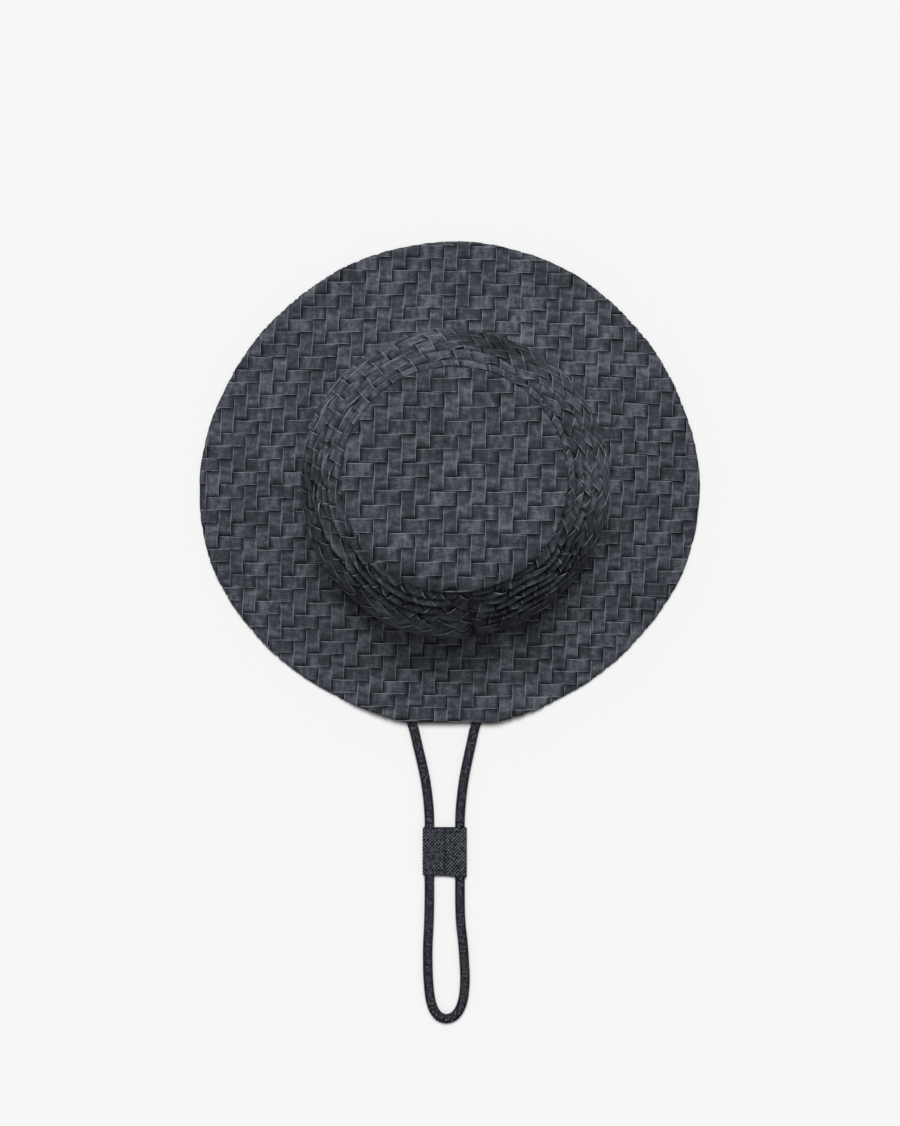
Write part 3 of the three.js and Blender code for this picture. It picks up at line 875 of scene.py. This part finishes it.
def keeper_mesh():
    turn = 1.3
    flat = KEEPER_HALF_WIDTH - KEEPER_WALL / 2 - turn
    low, high = KEEPER_WALL / 2, keeper_high[2] - KEEPER_WALL / 2
    step = 0.24
    x = np.arange(-flat, flat, step)
    arc = np.linspace(-math.pi / 2, math.pi / 2, 18)
    line_x = np.concatenate([x, flat + turn * np.cos(arc), x[::-1], -flat - turn * np.cos(arc)])
    line_z = np.concatenate(
        [
            np.full(len(x), low),
            low + turn + turn * np.sin(arc),
            np.full(len(x), low + 2 * turn),
            low + turn - turn * np.sin(arc),
        ]
    )
    leg = np.maximum(
        bump_at(line_x, -LEG_SPACING / 2, 3.9) ** 0.8, bump_at(line_x, LEG_SPACING / 2, 3.9) ** 0.8
    )
    upper = line_z > low + turn
    flank = 1 - smoothstep(np.abs(line_x), 8.5, 12)
    sink = (1 - leg) * smoothstep(line_z, low + turn, low + 2 * turn) * flank
    line_z = line_z + (high - low - 2 * turn) * upper - 1.15 * sink
    line_z = np.where(upper, np.minimum(line_z, high), line_z)
    loop = np.stack([line_x, line_z], -1)
    ahead = np.roll(loop, -1, 0) - np.roll(loop, 1, 0)
    ahead /= np.linalg.norm(ahead, axis=1)[:, None]
    out_x, out_z = ahead[:, 1], -ahead[:, 0]
    around = np.concatenate([[0], np.cumsum(np.hypot(np.diff(line_x), np.diff(line_z)))])
    y = np.linspace(-KEEPER_HALF_LENGTH, KEEPER_HALF_LENGTH, 124)
    end = KEEPER_HALF_LENGTH - np.abs(y)
    hem = 0.2 * bump_at(end, 3.0, 0.35) + 0.35 * bump_at(end, 0, 0.4)
    u, v = np.broadcast_to(around, (len(y), len(around))), y[:, None] + 40
    weft = webbing_relief(u, np.broadcast_to(v, u.shape), 1.05)
    relief = 0.22 * weft
    outer = KEEPER_WALL / 2 - 0.1 + relief - hem[:, None]
    seam = bump_at(line_x, 0, 0.5) * upper
    outer = outer - 0.25 * seam
    skins = []
    for offset in (outer, np.full(outer.shape, -KEEPER_WALL / 2 + 0.1)):
        px = LEG_MIDDLE + line_x + out_x * offset
        pz = np.maximum(line_z + out_z * offset, 0.04)
        sag = 0.8 * smoothstep(-y, 0, KEEPER_HALF_LENGTH)[:, None] * (1 + line_x / KEEPER_HALF_WIDTH)
        py = KEEPER_MIDDLE_Y + y[:, None] - sag
        skins.append(np.stack([px, py, pz], -1).reshape(-1, 3))
    ring = len(line_x)
    one = grid_quads(len(y), ring, closed=True)
    total = len(y) * ring
    k = np.arange(ring)
    n = (k + 1) % ring
    near = np.stack([k, k + total, n + total, n], -1)
    far = near[:, ::-1] + (len(y) - 1) * ring
    quads = np.concatenate([one[:, ::-1], one + total, near, far])
    points = np.concatenate(skins)
    uv = np.tile(np.stack([u.ravel(), np.broadcast_to(v, u.shape).ravel()], -1), (2, 1))
    # Painted shade: the sleeve is darker in the low places of its webbing relief, in the dents of its hems
    # and in the groove of its seam.
    dark = np.broadcast_to(np.maximum(hem[:, None] * 1.6, 0.5 * seam[None]), u.shape) + 1 - weft
    floats = {"dark": np.tile(np.clip(dark.ravel(), 0, 2), 2)}
    return make_mesh("keeper_webbing_sleeve", points, quads, uv, floats)


keeper = keeper_mesh()
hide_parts("keeper_sleeve")
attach(keeper, "keeper")

stops = np.linspace(-KEEPER_HALF_LENGTH + 1.2, KEEPER_HALF_LENGTH - 1.2, 15)


def keeper_seam(t, out):
    return np.stack(
        [LEG_MIDDLE + 0.05 * np.sin(t), KEEPER_MIDDLE_Y + t, np.full_like(t, 2.12) + out], -1
    )


keeper_thread = threads("keeper_seam_thread", stitch_row(keeper_seam, stops, 0.25, 0.18), 0.22)
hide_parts("keeper_stitch")
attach(keeper_thread, "keeper")


# ---------------------------------------------------------------- more stitching on the hat


HEM_STITCH_DROP = 1.92
HEM_STITCH_INSET = 8.8
LEAST_HEIGHT = 0.12


def hem_row(t, out):
    edge = outline_radius(t)
    height = brim_middle(t, edge - 2, edge) - HEM_STITCH_DROP - out
    return polar(edge - HEM_STITCH_INSET, t, np.maximum(height, LEAST_HEIGHT))


def sweatband_row(t, out):
    return wall_inside(t, np.full_like(t, band_low[2] + 2.2), 2.95 + out)


def tip_tape_row(offset):
    def place(t, out):
        radius = np.full_like(t, TIP_TAPE_OUTER - TIP_TAPE_WIDTH / 2 + offset)
        height = tip_tape_low[2] + 0.02 + 0.15 * np.sin(19 * t + 1) - out
        return polar(radius, t, height - back_slump(t, radius))

    return place


def back_row(offset):
    def place(t, out):
        return wall_inside(np.full_like(t, SEAM_ANGLE + offset / BACK_TAPE_RADIUS), t, 2.5 + out)

    return place


around_hem = np.linspace(0, 2 * math.pi, 241)
hat_thread = threads(
    "hat_seam_thread",
    stitch_row(hem_row, around_hem, 0.2, 0.16)
    + stitch_row(sweatband_row, np.linspace(0, 2 * math.pi, 181), 0.2, 0.15)
    + stitch_row(tip_tape_row(2.9), np.linspace(0, 2 * math.pi, 131), 0.2, 0.15)
    + stitch_row(tip_tape_row(-2.9), np.linspace(0, 2 * math.pi, 121), 0.2, 0.15)
    + stitch_row(back_row(3.8), np.linspace(back_low[2] + 1, back_high[2] - 1, 13), 0.2, 0.15)
    + stitch_row(back_row(-3.8), np.linspace(back_low[2] + 1, back_high[2] - 1, 13), 0.2, 0.15),
    0.19,
    5,
)
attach(hat_thread, "hat")


# ---------------------------------------------------------------- materials


class Look:
    """A principled material put together node by node."""

    def __init__(self, name, roughness=0.8, specular=0.25):
        self.material = bpy.data.materials.new(name)
        self.material.use_nodes = True
        self.tree = self.material.node_tree
        self.shader = self.tree.nodes["Principled BSDF"]
        self.shader.inputs["Roughness"].default_value = roughness
        self.shader.inputs["Specular IOR Level"].default_value = specular

    def node(self, kind, **settings):
        made = self.tree.nodes.new(kind)
        for key, value in settings.items():
            setattr(made, key, value)
        return made

    def link(self, source, target):
        self.tree.links.new(source, target)

    def math(self, operation, first, second=None, third=None):
        made = self.node("ShaderNodeMath", operation=operation)
        for slot, value in zip(made.inputs, (first, second, third)):
            if value is None:
                continue
            if isinstance(value, (int, float)):
                slot.default_value = value
            else:
                self.link(value, slot)
        return made.outputs[0]

    def attribute(self, name):
        return self.node("ShaderNodeAttribute", attribute_name=name).outputs["Fac"]

    def cloth(self):
        return self.node("ShaderNodeUVMap", uv_map="cloth").outputs["UV"]

    def stretched(self, vector, scale):
        made = self.node("ShaderNodeVectorMath", operation="MULTIPLY")
        self.link(vector, made.inputs[0])
        made.inputs[1].default_value = scale
        return made.outputs[0]

    def noise(self, vector, scale, detail=2.0, roughness=0.5, dimensions="3D"):
        made = self.node("ShaderNodeTexNoise", noise_dimensions=dimensions)
        made.inputs["Scale"].default_value = scale
        made.inputs["Detail"].default_value = detail
        made.inputs["Roughness"].default_value = roughness
        self.link(vector, made.inputs["Vector"])
        return made.outputs["Fac"]

    def place(self):
        return self.node("ShaderNodeTexCoord").outputs["Object"]

    def ramp(self, value, low, high, start=0.0, end=1.0):
        made = self.node("ShaderNodeMapRange", interpolation_type="SMOOTHSTEP")
        self.link(value, made.inputs["Value"])
        made.inputs["From Min"].default_value = start
        made.inputs["From Max"].default_value = end
        made.inputs["To Min"].default_value = low
        made.inputs["To Max"].default_value = high
        return made.outputs["Result"]

    def colour(self, value, stops):
        made = self.node("ShaderNodeValToRGB")
        ramp = made.color_ramp
        while len(ramp.elements) < len(stops):
            ramp.elements.new(0.5)
        for element, (place, rgb) in zip(ramp.elements, stops):
            element.position = place
            element.color = (*rgb, 1)
        self.link(value, made.inputs["Fac"])
        self.link(made.outputs["Color"], self.shader.inputs["Base Color"])

    def bump(self, height, distance, strength=1.0):
        made = self.node("ShaderNodeBump")
        made.inputs["Distance"].default_value = distance
        made.inputs["Strength"].default_value = strength
        self.link(height, made.inputs["Height"])
        self.link(made.outputs["Normal"], self.shader.inputs["Normal"])


def strip_look():
    look = Look("woven_strip", 0.8, 0.1)
    cloth = look.cloth()
    across = look.node("ShaderNodeSeparateXYZ")
    look.link(cloth, across.inputs[0])
    u = across.outputs["X"]
    aside = look.math("ABSOLUTE", look.math("SUBTRACT", u, 0.5))
    fibre = look.noise(look.stretched(cloth, (17, 0.9, 1)), 1.0, 3.0, 0.7)
    fine = look.noise(look.stretched(cloth, (42, 2.4, 1)), 1.0, 2.0, 0.6)
    bands = look.noise(look.stretched(cloth, (0.8, 2.6, 1)), 1.0, 2.0, 0.5)
    mottle = look.noise(look.place(), 190, 5.0, 0.66)
    tone = look.attribute("tone")
    dive = look.attribute("dive")
    value = look.math("MULTIPLY_ADD", tone, 0.05, 0.5)
    value = look.math("MULTIPLY_ADD", look.math("SUBTRACT", fibre, 0.5), 0.55, value)
    value = look.math("MULTIPLY_ADD", look.math("SUBTRACT", fine, 0.5), 0.5, value)
    value = look.math("MULTIPLY_ADD", look.math("SUBTRACT", bands, 0.5), 0.6, value)
    value = look.math("MULTIPLY_ADD", look.math("SUBTRACT", mottle, 0.5), 0.8, value)
    # Painted shade: each strip darkens towards the places where it dives under its neighbours, by an
    # amount that varies along it.
    shadow = look.ramp(dive, 0.0, 1.0, 0.35, 1.0)
    sunk = look.math("MULTIPLY", shadow, look.math("MULTIPLY", bands, -0.6))
    value = look.math("ADD", value, sunk)
    # Painted shadow: a dark line where a strip goes under the crossing strip's edge.
    painted_gap_shadow = look.ramp(dive, 0.0, 0.3, 0.84, 1.0)
    value = look.math("SUBTRACT", look.math("ADD", value, 0.012), painted_gap_shadow)
    # Painted highlight: a thin light line along both edges of every strip.
    edge = look.ramp(aside, 0.0, 1.0, 0.435, 0.462)
    value = look.math("MULTIPLY_ADD", edge, 0.36, value)
    # Painted shade from the surfaces darkens the colour.
    value = look.math("MULTIPLY_ADD", look.attribute("painted_shade"), -0.3, value)
    dark, middle, light = (0.003, 0.0034, 0.0046), (0.041, 0.0462, 0.056), (0.19, 0.205, 0.237)
    look.colour(value, [(0.0, dark), (0.45, middle), (1.0, light)])
    height = look.math("MULTIPLY_ADD", fine, 0.5, fibre)
    look.bump(height, 0.0002, 0.9)
    return look.material


def ribbed_look(name, dark, light, ribs):
    look = Look(name, 0.7, 0.3)
    cloth = look.cloth()
    split = look.node("ShaderNodeSeparateXYZ")
    look.link(cloth, split.inputs[0])
    run = look.math("MULTIPLY", split.outputs["Y"], ribs)
    wave = look.math("MULTIPLY_ADD", look.math("SINE", run), 0.5, 0.5)
    mottle = look.noise(look.place(), 420, 3.0, 0.6)
    # Painted shade: the colour is lighter on the rib crests and darker between them, in step with the
    # bump.
    value = look.math("MULTIPLY_ADD", wave, 0.5, look.math("MULTIPLY", mottle, 0.5))
    look.colour(value, [(0.1, dark), (0.9, light)])
    look.bump(wave, 0.00015, 0.8)
    return look.material


def braid_look():
    look = Look("strap_braid", 0.75, 0.1)
    ridge = look.attribute("ridge")
    centre = look.attribute("centre")
    cloth = look.cloth()
    yarn = look.noise(look.stretched(cloth, (30, 5, 1)), 1.0, 3.0, 0.6)
    speck = look.noise(look.stretched(cloth, (4.4, 0.78, 1)), 1.0, 2.0, 0.7, "2D")
    # Painted shade: darker in the braid's grooves, lighter on its ridges, and lighter along the middle of
    # the strap than at its edges.
    value = look.math("MULTIPLY_ADD", look.ramp(ridge, 0.0, 1.0, 0.2, 0.95), 0.85, -0.6)
    value = look.math("MULTIPLY_ADD", look.ramp(centre, 0.0, 1.0, 0.0, 0.6), 0.3, value)
    value = look.math("MULTIPLY_ADD", look.math("SUBTRACT", yarn, 0.5), 0.4, value)
    value = look.math("MULTIPLY_ADD", look.math("SUBTRACT", speck, 0.5), 3.0, value)
    dark, middle, light = (0.002, 0.0024, 0.0035), (0.026, 0.029, 0.038), (0.17, 0.186, 0.222)
    look.colour(value, [(0.0, dark), (0.5, middle), (0.95, light)])
    look.bump(yarn, 0.0002, 0.6)
    return look.material


def webbing_look():
    look = Look("keeper_webbing", 0.8, 0.1)
    cloth = look.cloth()
    mottle = look.noise(look.place(), 700, 3.0, 0.7)
    yarn = look.noise(look.stretched(cloth, (1.2, 1.2, 1)), 1.0, 2.0, 0.5)
    dark = look.attribute("dark")
    value = look.math("MULTIPLY_ADD", look.math("SUBTRACT", mottle, 0.5), 2.6, 0.49)
    value = look.math("MULTIPLY_ADD", look.math("SUBTRACT", yarn, 0.5), 0.3, value)
    # Painted shade from the sleeve's dark attribute darkens its colour.
    value = look.math("MULTIPLY_ADD", dark, -0.9, look.math("ADD", value, 0.35))
    low, middle, light = (0.005, 0.006, 0.008), (0.035, 0.039, 0.047), (0.12, 0.13, 0.15)
    look.colour(value, [(0.0, low), (0.5, middle), (1.0, light)])
    look.bump(mottle, 0.0001, 0.6)
    return look.material


def thread_look():
    look = Look("sewing_thread", 0.6, 0.4)
    twist = look.noise(look.place(), 3000, 2.0, 0.5)
    look.colour(twist, [(0.2, (0.006, 0.007, 0.01)), (0.8, (0.03, 0.032, 0.04))])
    look.bump(twist, 0.0001, 0.8)
    return look.material


strip_material = strip_look()
TAPE_COLOURS = (0.006, 0.0065, 0.008), (0.03, 0.032, 0.038)
RIBBON_COLOURS = (0.005, 0.0055, 0.007), (0.026, 0.028, 0.034)
# The last value is the rib wave's rate along the UV's length: an angle on round tapes, else millimetres
tape_material = ribbed_look("binding_tape", *TAPE_COLOURS, 9.0)
ribbon_material = ribbed_look("sweatband_ribbon", *RIBBON_COLOURS, 540.0)
join_material = ribbed_look("sweatband_join_ribbon", *RIBBON_COLOURS, 7.0)
braid_material = braid_look()
webbing_material = webbing_look()
thread_material = thread_look()

for pieces, slot, material in (
    ((crown_tip, crown_side, brim), "woven_strip", strip_material),
    ((tip_tape, back_tape), "binding_tape", tape_material),
    ((sweatband,), "sweatband_ribbon", ribbon_material),
    ((sweatband_join,), "sweatband_ribbon", join_material),
    ((strap,), "strap_braid", braid_material),
    ((keeper, anchor_left, anchor_right), "keeper_webbing", webbing_material),
    ((keeper_thread, hat_thread, tack_left, tack_right), "sewing_thread", thread_material),
):
    for piece in pieces:
        piece.data.materials.clear()
        piece.data.materials.append(material)

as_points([tuple(p * MM) for p in strap_line[::3]] + [tuple(strap_line[-1] * MM)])


# ---------------------------------------------------------------- floor and light

bpy.ops.mesh.primitive_plane_add(size=40, location=(0, 0, -0.0004))
floor = bpy.context.object
floor.name = "floor"
floor_look = Look("floor", 0.9, 0.1)
floor_look.shader.inputs["Base Color"].default_value = (0.855, 0.855, 0.855, 1)
floor.data.materials.append(floor_look.material)
floor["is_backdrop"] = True

sun_data = bpy.data.lights.new("key", "SUN")
sun_data.energy = 2.95
sun_data.angle = math.radians(32)
sun = bpy.data.objects.new("key", sun_data)
bpy.context.scene.collection.objects.link(sun)
sun.rotation_euler = Vector((0.01, -0.53, -0.95)).to_track_quat("-Z", "Y").to_euler()
world = bpy.data.worlds.new("studio")
bpy.context.scene.world = world
world.use_nodes = True
around_us = world.node_tree.nodes["Background"]
around_us.inputs["Color"].default_value = (1, 1, 1, 1)
seen = world.node_tree.nodes.new("ShaderNodeLightPath")
strength = world.node_tree.nodes.new("ShaderNodeMapRange")
strength.inputs["To Min"].default_value = 0.27
strength.inputs["To Max"].default_value = 0.9
world.node_tree.links.new(seen.outputs["Is Camera Ray"], strength.inputs["Value"])
world.node_tree.links.new(strength.outputs["Result"], around_us.inputs["Strength"])
bpy.context.scene.view_settings.view_transform = "Standard"

[[float(v) for v in row] for row in (cad_low, cad_high, *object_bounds())]
